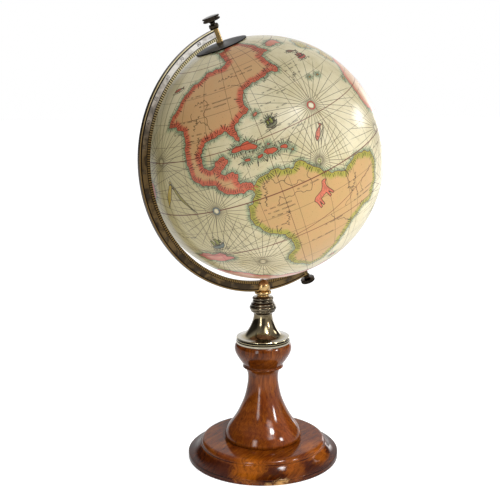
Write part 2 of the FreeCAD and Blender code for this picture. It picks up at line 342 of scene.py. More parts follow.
def arc_metal():
    """The arc: faces painted pale silver near the north end and dark bronze towards the bottom, as
    painted reflection and shade, a bright rim line, and a fine scale of alternate bright and dark degrees."""
    g = Graph("arc_bronze")
    local = g.vector("SUBTRACT", g.position, CENTRE)
    height = g.dot(local, UP)
    radius = g.vector("LENGTH", g.combine(g.dot(local, Vector((1, 0, 0))), 0, height)) * 1000
    angle = g.math("ARCTAN2", g.dot(local, NORTH), g.dot(local, EAST)) * (180 / math.pi)
    cloud = g.noise(g.position, 70, 4, 0.62, 0.4)
    grit = g.noise(g.position, 900, 3, 0.6)
    # Painted shade and reflection: lower rises towards the bottom, where faces, rim and scale are painted
    # dark; above it they are painted pale.
    lower = g.step(height + cloud * 0.05, 0.18, 0.03)
    g.colour = g.mix(g.step(cloud, 0.35, 0.65), rgb(196, 189, 181), rgb(252, 249, 244))
    shaded_lower_face = g.mix(g.step(cloud, 0.4, 0.6), rgb(62, 52, 40), rgb(110, 90, 60))
    g.paint(lower, shaded_lower_face)
    scale = g.step(g.math("SINE", angle * math.tau), -0.25, 0.25)
    in_scale = g.step(radius, SCALE_LINE_MM, SCALE_LINE_MM - 0.3)
    # The gold and the dark degree tones are also painted darker towards the bottom as painted shade.
    gold = g.mix(lower, rgb(250, 236, 186), rgb(134, 108, 66))
    shade = g.mix(lower, rgb(62, 52, 38), rgb(44, 36, 26))
    g.paint(in_scale, g.mix(scale, shade, gold))
    g.paint(g.step(radius, RIM_FROM_MM, RIM_FROM_MM + 0.3), gold)
    g.paint(g.step(radius, EDGE_FROM_MM, EDGE_FROM_MM + 0.2), rgb(58, 46, 32))
    rule, scale_line = g.band(radius - RULE_MM, 0.75, 0.2), g.band(radius - SCALE_LINE_MM, 0.32, 0.15)
    g.paint(g.math("MAXIMUM", rule, scale_line), rgb(34, 27, 20))
    g.paint(g.step(grit, 0.56, 0.8, 0, 0.5), rgb(48, 38, 28))
    g.bump(grit * 0.5 + cloud, 0.1, 0.0003)
    return g.finish(Metallic=g.step(lower, 0, 0.5, 0.15, 1), Roughness=0.26 + grit * 0.2)


def dial_metal():
    """The hour dial: near-black, spun in circles round the spin axis."""
    g = Graph("dial_spun_black")
    local = g.vector("SUBTRACT", g.position, CENTRE)
    around = g.vector("CROSS_PRODUCT", local, NORTH)
    reach = g.vector("LENGTH", around)
    rings = g.noise(g.combine(reach * 5200, 0, 0), 1, 2, 0.6)
    cloud = g.noise(g.position, 90, 3)
    g.colour = g.mix(g.step(rings, 0.35, 0.7), rgb(8, 8, 8), rgb(24, 22, 20))
    g.paint(g.step(cloud, 0.5, 0.75, 0, 0.35), rgb(42, 35, 26))
    g.bump(rings, 0.1, 0.0001)
    return g.finish(Metallic=1, Roughness=0.3 + rings * 0.12, Anisotropic=0.85,
                    Tangent=g.vector("NORMALIZE", around))


def felt():
    g = Graph("green_felt")
    fuzz = g.noise(g.position, 1400, 4, 0.7)
    cloud = g.noise(g.position, 90, 3)
    g.colour = g.mix(g.step(fuzz, 0.3, 0.7), rgb(24, 48, 34), rgb(60, 96, 70))
    g.paint(g.step(cloud, 0.4, 0.7, 0, 0.4), rgb(36, 62, 46))
    g.bump(fuzz, 0.6, 0.0006)
    return g.finish(Roughness=0.95, Sheen_Weight=0.4, Sheen_Roughness=0.5)


def board():
    g = Graph("core_board")
    fibre = g.noise(g.position, 500, 4, 0.7)
    g.colour = g.mix(fibre, rgb(150, 132, 104), rgb(206, 190, 160))
    g.bump(fibre, 0.3, 0.0003)
    return g.finish(Roughness=0.8)


def zinc():
    g = Graph("zinc_steel")
    spangle = g.noise(g.position, 260, 3)
    g.colour = g.mix(spangle, rgb(150, 150, 148), rgb(214, 214, 210))
    return g.finish(Metallic=1, Roughness=g.step(spangle, 0.2, 0.8, 0.25, 0.45))


def dress(material, *names):
    for name in names:
        slots = NODES[name].material_slots
        if not slots:
            NODES[name].data.materials.append(material)
        for slot in slots:
            slot.material = material


def dress_frame():
    antique = metal("antique_bronze", rgb(112, 102, 84), rgb(46, 40, 32), rgb(188, 176, 148),
                    0.09, 0.25, 80)
    gilt = metal("clamp_gilt_bronze", rgb(202, 168, 114), rgb(116, 92, 60), rgb(234, 208, 156),
                 0.18, 0.35, 90)
    dark = metal("knob_dark_bronze", rgb(58, 51, 42), rgb(26, 23, 20), rgb(120, 106, 80),
                 0.16, 0.25, 110)
    bright = metal("sleeve_bright_brass", rgb(116, 96, 60), rgb(50, 40, 26), rgb(188, 164, 112),
                   0.12, 0.4, 90)
    dress(plinth_wood(), "base_plinth")
    dress(column_wood(), "column")
    dress(felt(), "base_felt")
    dress(cap_metal(), "trumpet_cap")
    dress(antique, "bead_lower", "bead_upper", "collar_disc")
    dress(gilt, "clamp_body")
    dress(dark, "north_knob", "south_knob", "north_neck_ring", "south_neck_ring")
    dress(bright, "north_sleeve", "south_sleeve", "north_bushing", "south_bushing")
    dress(arc_metal(), "meridian_arc")
    dress(dial_metal(), "hour_dial")
    dress(board(), "north_half_shell", "south_half_shell", "seam_ring")
    dress(zinc(), "tie_rod", "tie_rod_washer", "tie_rod_nut", "north_pin", "south_pin", "clamp_grub")


# ---------------------------------------------------------------- the printed map

# Outlines are (latitude, longitude) in degrees on the map's own grid, whose longitude 0
# faces -Y. The lands that face the camera were read from a degree grid laid over the
# photograph, so they follow its coasts. The far lands are plain world outlines.
NORTH_LAND = [
    (82, -20), (77.5, -47), (72, -34), (68, -31), (65.5, -29), (64, -32), (62.8, -37.5), (62, -45),
    (61.2, -52), (58.8, -56), (56.8, -63), (53.7, -66), (50.8, -70), (47.2, -71.5), (44.3, -74),
    (41.5, -76), (38, -77), (38.5, -73), (36.8, -69.5), (36, -65), (31.5, -64.2), (28.2, -64.8),
    (21.5, -64.4), (18, -63.3), (15.2, -62.7), (13.6, -61), (11.6, -58.6), (11.3, -55), (10.4, -52),
    (8.4, -51), (6.5, -49), (5.2, -45.6), (4.3, -41.4), (5.3, -39.5), (4.7, -37.5), (6.4, -36), (8, -37),
    (8.8, -39), (8.5, -41.4), (10.2, -42.2), (13, -41), (14.4, -42.8), (14, -46), (14.7, -48.5),
    (16.3, -47.5), (17.9, -45), (19.7, -43.6), (21.3, -45), (21.3, -47.1), (20.4, -49), (18.2, -50.2),
    (17.4, -52), (18.5, -54.8), (21, -56.1), (24.2, -56.4), (26.3, -55), (28.4, -53.3), (29.5, -50.8),
    (29.8, -47.5), (30.6, -44.7), (31.7, -42), (29.4, -39.7), (27, -38), (25.3, -36.4), (27.6, -36.2),
    (31, -36.8), (33, -35.6), (34.5, -33.2), (35.8, -30.3), (37, -27), (39.5, -28.5), (42.5, -28.1),
    (44.8, -26.5), (46.6, -24.4), (47.2, -21.4), (47.8, -17.2), (48.8, -11.4), (49.2, -8), (49.8, -3),
    (50.5, 2.5), (54.1, 1), (57, 1), (60.3, 1.5), (61.5, 13), (64, 12), (65, 8), (68.4, 13), (72.2, 10),
    (78.4, 8),
]
SOUTH_LAND = [
    (6.4, -36), (8.8, -33), (9.2, -29), (10, -25.5), (8.5, -23.3), (7.4, -19.5), (9, -17), (8.4, -13.4),
    (6.5, -12), (3.6, -8.8), (0.3, -5.5), (-2, -2.8), (-3.5, 1.8), (-4.3, 4), (-3, 5.5), (-2, 8.7),
    (-0.7, 13), (-1.3, 18), (-3.5, 23), (-6.4, 24.5), (-9.7, 25.5), (-15, 24), (-20.2, 22.5), (-23.5, 22),
    (-26, 19.5), (-26, 13), (-27.3, 10), (-28.8, 6.5), (-30.2, 4.5), (-33, 2.5), (-36, 0), (-40.7, -4),
    (-45.4, -10), (-49, -17), (-50, -24), (-45, -28), (-41.6, -33), (-36.8, -34.8), (-33, -32.8),
    (-31, -29.8), (-26.4, -29), (-22.6, -30.5), (-20, -31.2), (-19, -33.7), (-17, -37), (-13.6, -39.8),
    (-11.6, -41), (-9.6, -42.3), (-5.8, -42.4), (-1.7, -41.7), (-0.4, -38.9), (2.6, -37), (4.7, -37.5),
]
AFRICA = [
    (33.5, 47), (31, 42.5), (29.6, 40), (27.4, 38.2), (24, 37.4), (21, 36.6), (17.4, 36.2), (14, 36.6),
    (11, 38.3), (8.6, 41), (6.6, 45), (5.4, 52), (6, 58), (4, 63.5), (-1, 63), (-9, 67), (-17, 66),
    (-23, 68.5), (-29, 71), (-34.5, 73), (-34, 80), (-29, 86), (-26, 87), (-20, 89), (-15, 94.5),
    (-10, 94), (-2, 95), (5, 102), (11.5, 105), (11.5, 97), (15, 93.5), (22, 91), (27.5, 88), (31, 86.5),
    (31, 84), (32.5, 76), (30.5, 73), (33, 65), (37, 64), (36.5, 53), (35.5, 48.5),
]
EURASIA = [
    (36.6, 48), (37.5, 45), (40.5, 44.3), (43.5, 45), (43.8, 52), (48.2, 49.5), (50, 55), (53.5, 61),
    (57, 62.5), (55, 65), (54.5, 74), (59, 77), (60, 83), (65, 79), (61, 71.5), (56, 70), (59, 64.5),
    (58, 60.5), (62, 59), (67, 67), (71, 79), (68, 95), (66.5, 87), (68, 99), (69, 114), (73, 124),
    (73, 139), (77, 157), (73, 174), (72, 190), (70, 214), (68, 232), (64.5, 232), (60, 220), (52, 211),
    (58, 212), (62.5, 217), (59.5, 204), (54, 191), (48, 194), (43, 187), (39, 181.5), (35, 183),
    (35, 180.5), (39, 179), (40.5, 175), (37.5, 176), (35, 173.5), (31, 176), (25, 173), (22.5, 168),
    (21, 163), (17, 161), (11, 163), (9, 159), (13.5, 154.5), (7, 154.5), (1.5, 158), (6, 154), (14, 152),
    (17, 149.5), (22, 145), (16, 136), (13, 134), (8, 131.5), (15, 128), (21, 126.5), (24.5, 121),
    (25.5, 112), (30, 103), (24, 106), (26, 110.5), (22.5, 114), (17, 109), (12.7, 99), (20, 94), (28, 89),
    (31.5, 88.5), (36.5, 90), (36.5, 85), (37, 81.5), (40.5, 80.5), (41.2, 85), (42, 89), (41.5, 95.5),
    (45, 90.5), (47, 93), (45.5, 87), (46.5, 85), (42.5, 81.7), (40.5, 77), (37, 77), (39, 74), (42, 73),
    (45.5, 67.5), (41.5, 70), (40, 72.5), (38, 70), (41, 67), (44, 63), (43, 57.5), (40.5, 54.5),
    (37, 52.5),
]
SOUTHERN_EDGE = [
    (-56, -180), (-50, -152), (-44, -124), (-39, -98), (-37, -83), (-38, -74), (-40, -67), (-46, -60),
    (-53, -50), (-57, -34), (-59, -12), (-56, 8), (-52, 32), (-50, 58), (-45, 84), (-40, 108), (-43, 130),
    (-50, 154), (-56, 180),
]
AUSTRAL_LAND = [
    (-11, 196.5), (-17, 195), (-12, 190.5), (-12, 185), (-17, 177), (-22, 168), (-31, 169.5), (-34.5, 171),
    (-32, 182), (-34.5, 190), (-38.5, 195), (-39, 200.5), (-34, 205), (-28, 207.5), (-20, 202.5),
    (-15, 199.3),
]
CARIBBEAN_LONG = [
    (22.2, -41.5), (24, -38.5), (24.3, -35), (23, -31.5), (21.3, -29), (20.4, -31), (21, -34), (21.6, -38),
]

TERRACOTTA = {"fill": rgb(200, 160, 112), "edge": rgb(200, 62, 50), "names": 1}
OCHRE = {"fill": rgb(192, 156, 100), "edge": rgb(152, 158, 40), "names": 1}
ROSE = {"fill": rgb(204, 166, 130), "edge": rgb(202, 96, 76), "names": 0}
STRAW = {"fill": rgb(194, 172, 112), "edge": rgb(184, 158, 62), "names": 1}
PINK = {"fill": rgb(208, 164, 144), "edge": rgb(196, 96, 92), "names": 0}
CORAL = {"fill": rgb(192, 108, 72), "edge": rgb(194, 74, 54), "names": -1}

# Islands: latitude, longitude, length and width in degrees, tilt in degrees, colours.
ISLANDS = [
    (17.4, -24.6, 6, 2.4, -12, CORAL), (17, -18.4, 3.2, 1.5, -20, CORAL),
    (16.9, -29.6, 2.6, 1.2, 10, CORAL), (17.2, -35.2, 2.4, 1.1, 0, CORAL),
    (14.6, -15.6, 1.2, 0.8, 0, STRAW), (20.4, -24.5, 1.4, 0.8, 0, PINK), (34, -25, 2.2, 1.4, 30, ROSE),
    (29.5, -20, 1, 0.8, 0, CORAL), (38.4, 14, 1.3, 0.8, 0, STRAW), (37.4, 20, 1.5, 0.9, 0, STRAW),
    (28.5, 36, 1.6, 0.9, 10, STRAW), (64.5, 30, 9, 5, 0, ROSE), (53.5, 49.5, 11, 5.5, 60, STRAW),
    (53, 43.5, 5, 4, 70, OCHRE), (-25, -72, 19, 6, -8, PINK), (10, -95, 9, 5, 60, CORAL),
    (-18.5, 101, 13, 5, 70, STRAW), (7.5, 135, 4.6, 3, 80, OCHRE), (0.5, 168, 11, 8.5, 40, ROSE),
    (-0.5, 156, 16, 4.2, -44, STRAW), (-7.5, 164, 10, 2, -6, OCHRE), (12.5, 176.5, 10, 5, 75, CORAL),
    (-5.5, 195, 20, 6, -18, ROSE), (-2, 175, 6, 4, 60, STRAW), (36, 192, 14, 3.4, 48, CORAL),
    (43.5, 197, 5, 3.6, 20, OCHRE), (-42, 228, 12, 4, 55, ROSE), (20, -102, 2.2, 1.4, -30, CORAL),
    (-18, 232, 2.4, 1.2, 0, STRAW), (-9, -146, 3, 1.6, 20, PINK), (-20, -120, 3.4, 2, 0, OCHRE),
    (2, -128, 2, 1.4, 0, ROSE), (-51, -5, 3, 1.6, 0, PINK), (-16, 48, 1.4, 1, 0, CORAL),
    (-8, 40, 1, 0.7, 0, STRAW),
]


ISLAND_POINTS = 14


def roughened(points, levels, amount, rng, closed=True):
    """The line with each stretch broken into smaller uneven ones, as a drawn coast is."""
    for _ in range(levels):
        ends = points[1:] + points[:1] if closed else points[1:]
        finer = []
        for (lat_a, lon_a), (lat_b, lon_b) in zip(points, ends):
            push = rng.gauss(0, amount)
            finer.append((lat_a, lon_a))
            finer.append((
                (lat_a + lat_b) / 2 + push * (lon_b - lon_a),
                (lon_a + lon_b) / 2 - push * (lat_b - lat_a),
            ))
        points = finer + ([] if closed else points[-1:])
    return points


def island_outline(lat, lon, length, width, tilt_deg, rng):
    """An uneven oval."""
    turn = math.radians(tilt_deg)
    outline = []
    for k in range(ISLAND_POINTS):
        angle = math.tau * k / ISLAND_POINTS
        reach = 1 + rng.uniform(-0.2, 0.2)
        x, y = length / 2 * math.cos(angle) * reach, width / 2 * math.sin(angle) * reach
        outline.append((
            lat + x * math.sin(turn) + y * math.cos(turn),
            lon + (x * math.cos(turn) - y * math.sin(turn)) / math.cos(math.radians(lat)),
        ))
    return outline


def facing(lon_deg):
    """The direction of a longitude on the equator."""
    return ZERO * math.cos(math.radians(lon_deg)) + EAST * math.sin(math.radians(lon_deg))


def on_sphere(lat_deg, lon_deg):
    """Unit directions of latitudes and longitudes, as an array of rows."""
    lat, lon = np.radians(lat_deg), np.radians(lon_deg)
    ring = np.cos(lat)
    return (np.outer(np.sin(lat), NORTH) + np.outer(ring * np.cos(lon), ZERO)
            + np.outer(ring * np.sin(lon), EAST))


# Extra run given to each radian of a corner, so that strokes fan out round it, and about the
# longest stretch of a line that is left uncut.
CORNER_RUN_MM = 4
CUT_DEG = 0.45


class Lines:
    """Drawn lines on the sphere, which give each point its distance from the nearest one."""

    def __init__(self, reach_mm):
        self.reach = reach_mm
        self.starts, self.ends, self.runs, self.owners = [], [], [], []

    def add(self, points, owner, closed=True):
        """points are (lat, lon); long stretches are cut into short ones."""
        lats, lons = [], []
        loop = points + points[:1] if closed else points
        for (lat_a, lon_a), (lat_b, lon_b) in zip(loop, loop[1:]):
            span = math.hypot(lat_b - lat_a, (lon_b - lon_a) * math.cos(math.radians(lat_a)))
            cuts = max(1, math.ceil(span / CUT_DEG))
            for k in range(cuts):
                lats.append(lat_a + (lat_b - lat_a) * k / cuts)
                lons.append(lon_a + (lon_b - lon_a) * k / cuts)
        lats.append(loop[-1][0])
        lons.append(loop[-1][1])
        dots = on_sphere(np.array(lats), np.array(lons)) * (BALL_R / MM)
        stretches = np.diff(dots, axis=0)
        lengths = np.linalg.norm(stretches, axis=1)
        headings = stretches / lengths[:, None]
        corners = np.arccos(np.clip((headings[1:] * headings[:-1]).sum(1), -1, 1))
        self.starts += list(dots[:-1])
        self.ends += list(dots[1:])
        self.runs += [0, *np.cumsum(lengths[:-1] + CORNER_RUN_MM * corners)]
        self.owners += [owner] * len(lengths)

    def measure(self, spots):
        """For each spot (unit directions): distance in mm, side sign, run along the line, owner."""
        starts, ends = np.array(self.starts), np.array(self.ends)
        tree = kdtree.KDTree(len(starts))
        for i, middle in enumerate((starts + ends) / 2):
            tree.insert(middle, i)
        tree.balance()
        places = spots * (BALL_R / MM)
        near = np.array([tree.find(p)[1] for p in places])
        best = None
        for shift in (-1, 0, 1):
            pick = np.clip(near + shift, 0, len(starts) - 1)
            a, b = starts[pick], ends[pick]
            line = b - a
            length2 = np.maximum((line ** 2).sum(1), 1e-9)
            share = np.clip(((places - a) * line).sum(1) / length2, 0, 1)
            gap = places - (a + line * share[:, None])
            distance = np.sqrt((gap ** 2).sum(1))
            side = np.sign((np.cross(line, gap) * spots).sum(1))
            length = np.sqrt(length2)
            beyond = (gap * line).sum(1) / (length * np.maximum(distance, 1e-6))
            corner = CORNER_RUN_MM * np.arcsin(np.clip(beyond, -1, 1))
            found = np.array([distance, side, np.array(self.runs)[pick] + share * length + corner, pick])
            best = found if best is None else np.where(found[0] < best[0] - 1e-6, found, best)
        distance, side, along, pick = best
        return np.minimum(distance, self.reach), side, along, np.array(self.owners)[pick.astype(int)]


def inside(outline, lat, lon):
    """True for each point that lies inside the closed outline, whichever turn of longitude it uses."""
    lats, lons = np.array([p[0] for p in outline]), np.array([p[1] for p in outline])
    found = np.zeros(len(lat), bool)
    for turn in (-360, 0, 360):
        shifted = lon + turn
        in_lat = (lat >= lats.min()) & (lat <= lats.max())
        index = np.nonzero(in_lat & (shifted >= lons.min()) & (shifted <= lons.max()))[0]
        if not len(index):
            continue
        y, x = lat[index], shifted[index]
        odd = np.zeros(len(index), bool)
        for k in range(len(lats)):
            y1, x1, y2, x2 = lats[k - 1], lons[k - 1], lats[k], lons[k]
            if y1 == y2:
                continue
            crossing = (y1 > y) != (y2 > y)
            odd ^= crossing & (x < (x2 - x1) * (y - y1) / (y2 - y1) + x1)
        found[index] |= odd
    return found


def covered(shapes, lat, lon):
    """True for each point that lies inside any of the shapes' outlines."""
    found = np.zeros(len(lat), bool)
    for outline, _ in shapes:
        found |= inside(outline, lat, lon)
    return found


def land_shapes():
    """(outline, colours) of every closed land, and the northern edge of the southern one."""
    rng = random.Random(1)
    shapes = []
    for outline, levels, amount, colours in (
        (NORTH_LAND, 2, 0.13, TERRACOTTA), (SOUTH_LAND, 2, 0.1, OCHRE), (AFRICA, 3, 0.1, ROSE),
        (EURASIA, 2, 0.12, STRAW), (AUSTRAL_LAND, 3, 0.12, TERRACOTTA), (CARIBBEAN_LONG, 1, 0.12, CORAL),
    ):
        shapes.append((roughened(outline, levels, amount, rng), colours))
    for lat, lon, length, width, tilt, colours in ISLANDS:
        outline = island_outline(lat, lon, length, width, tilt, rng)
        shapes.append((roughened(outline, 1, 0.14, rng), colours))
    return shapes, roughened(SOUTHERN_EDGE, 3, 0.11, rng, closed=False)


# ---- ornaments: (x, y) in mm on the local tangent plane, x east and y north

def bent(points, turn_deg, scale):
    """The points turned anticlockwise and scaled."""
    cos, sin = math.cos(math.radians(turn_deg)) * scale, math.sin(math.radians(turn_deg)) * scale
    return [(x * cos - y * sin, x * sin + y * cos) for x, y in points]


SHIP_HULL = [(-9, 1), (-6, 0.4), (3, 0.2), (8, 2.4), (10, 3.8), (8, -1.2), (5, -3.6), (-4, -3.8), (-8, -2)]
SHIP_SAILS = [
    [(-6.5, 1.6), (-2.6, 1.6), (-2, 5), (-2.8, 8.6), (-6.2, 8.2), (-5.4, 5)],
    [(-1.4, 1.4), (3.6, 1.4), (4.4, 5.4), (3.4, 10.2), (-0.8, 9.8), (0, 5.6)],
    [(5, 3.2), (7.6, 4), (7.4, 7.6), (4.6, 7.2)],
]
SHIP_LINES = [
    [(-4.6, 0), (-4.6, 10.4)], [(1, 0), (1, 12.6)], [(6, 2), (6, 9)], [(1, 12.6), (4, 13.2)],
    [(-13, -4.6), (-9, -3.6), (-5, -5), (0, -4), (5, -5.2), (10, -3.8), (13, -5)],
    [(-11, -6.8), (-6, -5.8), (-1, -7), (5, -6), (11, -7)],
]
FISH_BODY = [(-10, 0), (-7, 2.6), (-1, 3.4), (5, 1.6), (8.6, 0.4), (12, 3.6), (11, 0), (12, -3),
             (8.4, -0.8), (4, -1.4), (-2, -2.6), (-7, -2)]
FISH_LINES = [
    [(-14, -3.4), (-10, -2.4), (-5, -4.2), (1, -3), (7, -4.4), (13, -3)],
    [(-12, -6), (-5, -5.2), (2, -6.4), (10, -5.4)], [(-5, 2.8), (-5, -1.8)], [(-8, 0.8), (-7.4, 0.8)],
]
BEAST_BODY = [
    (-9, 4), (-6, 5.6), (2, 5.4), (5, 7.4), (8, 10.6), (10.6, 10), (12, 8), (9.4, 7.6), (7.6, 4.2),
    (7.8, 1), (8.6, -6), (7, -6), (5.6, -0.6), (4.6, -6), (3, -6), (3.4, 0.2), (-3.6, 0.4),
    (-4.6, -6), (-6.2, -6), (-6, 0), (-8, -6), (-9.6, -6), (-8.4, 1),
]
DIVIDER_HEAD = [(-1.6, 2.2), (0, 4.8), (1.6, 2.2), (4.6, -6.4), (2.6, -6), (0, 0.4), (-0.8, 0)]


def ornaments():
    """(outlines with colours, lines) of every small picture on the map, as (lat, lon) points."""
    outlines, lines = [], []

    def place(points, lat, lon, turn, scale):
        shrink = math.cos(math.radians(lat))
        return [(lat + math.degrees(y / RADIUS_MM), lon + math.degrees(x / RADIUS_MM) / shrink)
                for x, y in bent(points, turn, scale)]

    def draw(shapes, strokes, *stand):
        for shape, colour in shapes:
            outlines.append((place(shape, *stand), colour))
        for stroke in strokes:
            lines.append(place(stroke, *stand))

    def hills(lat, lon, turn, count, scale):
        for k in range(count):
            x, y = 4.4 * k, 1.6 * (k % 2)
            lines.append(place([(x, y), (x + 1.4, y + 2.8), (x + 3, y + 0.2)], lat, lon, turn, scale))

    olive = rgb(160, 148, 62)
    green, blue, red = rgb(150, 156, 50), rgb(96, 116, 118), rgb(190, 50, 44)
    brown, pink, dark = rgb(140, 84, 54), rgb(216, 108, 84), rgb(74, 78, 70)
    yellow = rgb(208, 178, 40)
    for hull, sails, *stand in [
        (rgb(104, 106, 78), green, 27.4, -19.5, 6, 0.75), (blue, green, -17.5, -64, 8, 1.05),
        (red, red, 48.5, 26, -10, 0.8), (brown, ROSE["fill"], -28, 50, 4, 0.9),
        (dark, green, -12, -118, 6, 1), (blue, pink, 30, -140, -6, 1), (brown, green, -24, 138, 8, 1),
    ]:
        draw([(SHIP_HULL, hull)] + [(sail, sails) for sail in SHIP_SAILS], SHIP_LINES, *stand)
    for colour, *stand in [
        (pink, 16, -1.5, 48, 0.95), (red, 56.5, -78, 20, 0.7), (brown, 54, 26, -30, 0.7),
        (green, -36, 30, 12, 0.9), (pink, -34, -110, -8, 1), (blue, 40, -120, 10, 1),
        (red, -6, 118, -12, 0.9),
    ]:
        draw([(FISH_BODY, colour)], FISH_LINES, *stand)
    for colour, *stand in [(pink, -9.5, -9.5, 30, 1.3), (brown, 44, 120, -8, 0.9), (brown, 6, 74, 6, 0.9)]:
        draw([(BEAST_BODY, colour)], [], *stand)
    draw([(DIVIDER_HEAD, yellow)], [], 14, -77, 4, 1)
    outlines.append(([(14, -78), (14, -76), (8.2, -78.6), (3.4, -82.4), (8.4, -81.4)], yellow))
    outlines.append(([(14.4, -77), (13.4, -75.4), (7, -70.8), (0.2, -65.6), (7.4, -73.2)], olive))
    for lat, lon, turn, count in [
        (24, -58, 70, 6), (20, -57, 66, 5), (46, -58, 10, 4), (55, -40, 0, 5), (-15, 6, 60, 6),
        (4, -33, 30, 4), (-4, -34, 70, 6), (-16, -28, 70, 5), (30, 60, 0, 6), (12, 62, 10, 5),
        (0, 82, 60, 5), (-22, 78, 20, 5), (34, 136, 14, 9), (30, 142, 20, 8), (52, 150, 0, 7),
        (46, 104, 10, 6), (60, 128, 0, 6), (-24, 184, 0, 6), (20, 104, 20, 5), (62, 184, 10, 6),
        (51, -8, 20, 5), (46, -12, 30, 4), (35, -58, 64, 5), (40, 4, 40, 4), (-60, 60, 0, 6),
        (-56, -120, 0, 6), (-66, -30, 0, 5),
    ]:
        hills(lat, lon, turn, count, 0.85)
    rng = random.Random(5)
    for river in [
        [(9, -29), (6, -28), (4, -24), (5.5, -20)], [(4, -24), (1, -22), (0.5, -16)],
        [(4.6, -12), (2, -14), (-2, -13), (-4, -17), (-3, -24), (-5, -30)],
        [(-2.5, 3), (-7, 5), (-12, 3), (-17, 4), (-20, 1)], [(-12, 3), (-14, 8), (-19, 9)],
        [(-30.5, 4.5), (-27, 0), (-24, -6), (-20, -8)], [(-9, 20), (-12, 14), (-18, 13)],
        [(30, -49), (36, -50), (42, -52), (47, -50)], [(36, -50), (38, -56), (43, -60)],
        [(47, -20), (48.5, -26), (50.5, -32)], [(31.5, 86), (24, 87), (16, 86), (6, 84), (-2, 86)],
        [(5, 62), (10, 58), (14, 52)], [(-6, 66.5), (-3, 72), (2, 78)], [(-18, 90), (-16, 82), (-12, 78)],
        [(22, 145), (26, 138), (29, 132)], [(31, 175), (30, 166), (32, 156), (34, 148)],
        [(37.5, 172), (36, 162), (40, 158)], [(72, 181), (64, 178), (58, 172)],
        [(66, 121), (58, 122), (52, 130)], [(45, 99), (52, 99), (58, 92)],
        [(-35, 193), (-30, 196), (-26, 200)],
    ]:
        lines.append(roughened(river, 3, 0.16, rng, closed=False))
    return outlines, lines


# Rows of small unreadable dashes: latitude, west and east longitude.
CAPTION_ROWS = [
    (45.2, -55, -34), (43.2, -54, -38), (50.8, -62, -50), (51.2, -44, -33), (33.2, -60, -52),
    (57, -30, -12), (55, -28, -14), (39.6, -66, -58), (-5.4, -36, -24), (-7.4, -35, -23), (-9.4, -34, -26),
    (-1.6, -20, -10), (-18, 8, 20), (-20, 6, 17), (-24, -12, -2), (-14.5, -34, -28), (43, 2, 12),
    (38.8, -10, -4), (33, -14, -7), (20, 60, 76), (17, 62, 74), (-8, 72, 84), (-18, 74, 82),
    (50, 100, 122), (47, 104, 118), (56, 140, 160), (28, 130, 140), (34, 116, 126), (-26, 176, 196),
    (-29, 180, 192), (60, 90, 110), (-62, -90, -60), (-64, 20, 50), (-60, 120, 150), (0, -118, -100),
    (-4, 24, 34), (10, 114, 124), (36.4, -21, -13), (30.6, -24, -15), (41.6, -17, -8), (46.4, 4, 15),
    (48.6, 6, 16), (24.6, -13, -7), (22.4, -12, -5), (18.6, -56, -50), (-29.6, -20, -8), (-12, -84, -74),
    (30.8, -60, -50), (34.8, -72, -64),
]
CAPTION_HALF_MM = 0.9

# Compass centres, from which thin bearing lines fan out: latitude, longitude, reach in degrees,
# ring radius in mm (0 for a bare crossing point) and ring colour.
RED_INK = rgb(186, 50, 44)
BLUE_INK = rgb(84, 104, 116)
COMPASSES = [
    (27.4, 2.5, 30, 4.4, RED_INK), (0, -56, 26, 3.8, BLUE_INK), (5.5, -6.5, 20, 1.8, rgb(120, 128, 60)),
    (24, -82, 40, 0, BLUE_INK), (8, -104, 44, 0, BLUE_INK), (-24, -66, 30, 0, BLUE_INK),
    (-33, -48, 30, 0, BLUE_INK), (2, 36, 26, 0, BLUE_INK), (-30, 46, 30, 3.6, RED_INK),
    (0, 118, 30, 3.8, RED_INK), (0, -140, 34, 3.8, BLUE_INK), (40, -140, 34, 0, BLUE_INK),
    (-38, -150, 30, 3.4, RED_INK), (-32, 130, 32, 0, BLUE_INK), (16, -112, 28, 0, BLUE_INK),
    (10, 200, 26, 3.4, BLUE_INK),
]


def stitched(lower, upper):
    """Triangles that join two rings of vertices, given as (first index, count), both anticlockwise."""
    first_a, count_a = lower
    first_b, count_b = upper
    faces, a, b = [], 0, 0
    while a < count_a or b < count_b:
        here_a, here_b = first_a + a % count_a, first_b + b % count_b
        if b == count_b or (a < count_a and (a + 1) * count_b <= (b + 1) * count_a):
            faces.append((here_a, first_a + (a + 1) % count_a, here_b))
            a += 1
        else:
            faces.append((here_a, first_b + (b + 1) % count_b, here_b))
            b += 1
    return faces


SKIN_ROWS = 176
HOLE_DEG = math.degrees(math.asin(5.2 / RADIUS_MM))
SKIN_T = 0.3 * MM


def skin_rings(sign):
    """Rings (radius, latitude, count) of one closed map skin, from the equator over the outside to
    the pole hole, and back along the inside in coarser rings."""
    rings = []
    for row in range(SKIN_ROWS, 0, -1):
        lat = 90 * (1 - row / SKIN_ROWS)
        if 90 - lat > HOLE_DEG + 0.3:
            rings.append((BALL_R, lat * sign, 6 * row))
    rings.append((BALL_R, (90 - HOLE_DEG) * sign, rings[-1][2]))
    rings.append((BALL_R - SKIN_T, (90 - HOLE_DEG) * sign, 36))
    for lat in range(84, -1, -6):
        rings.append((BALL_R - SKIN_T, lat * sign, 90))
    return rings


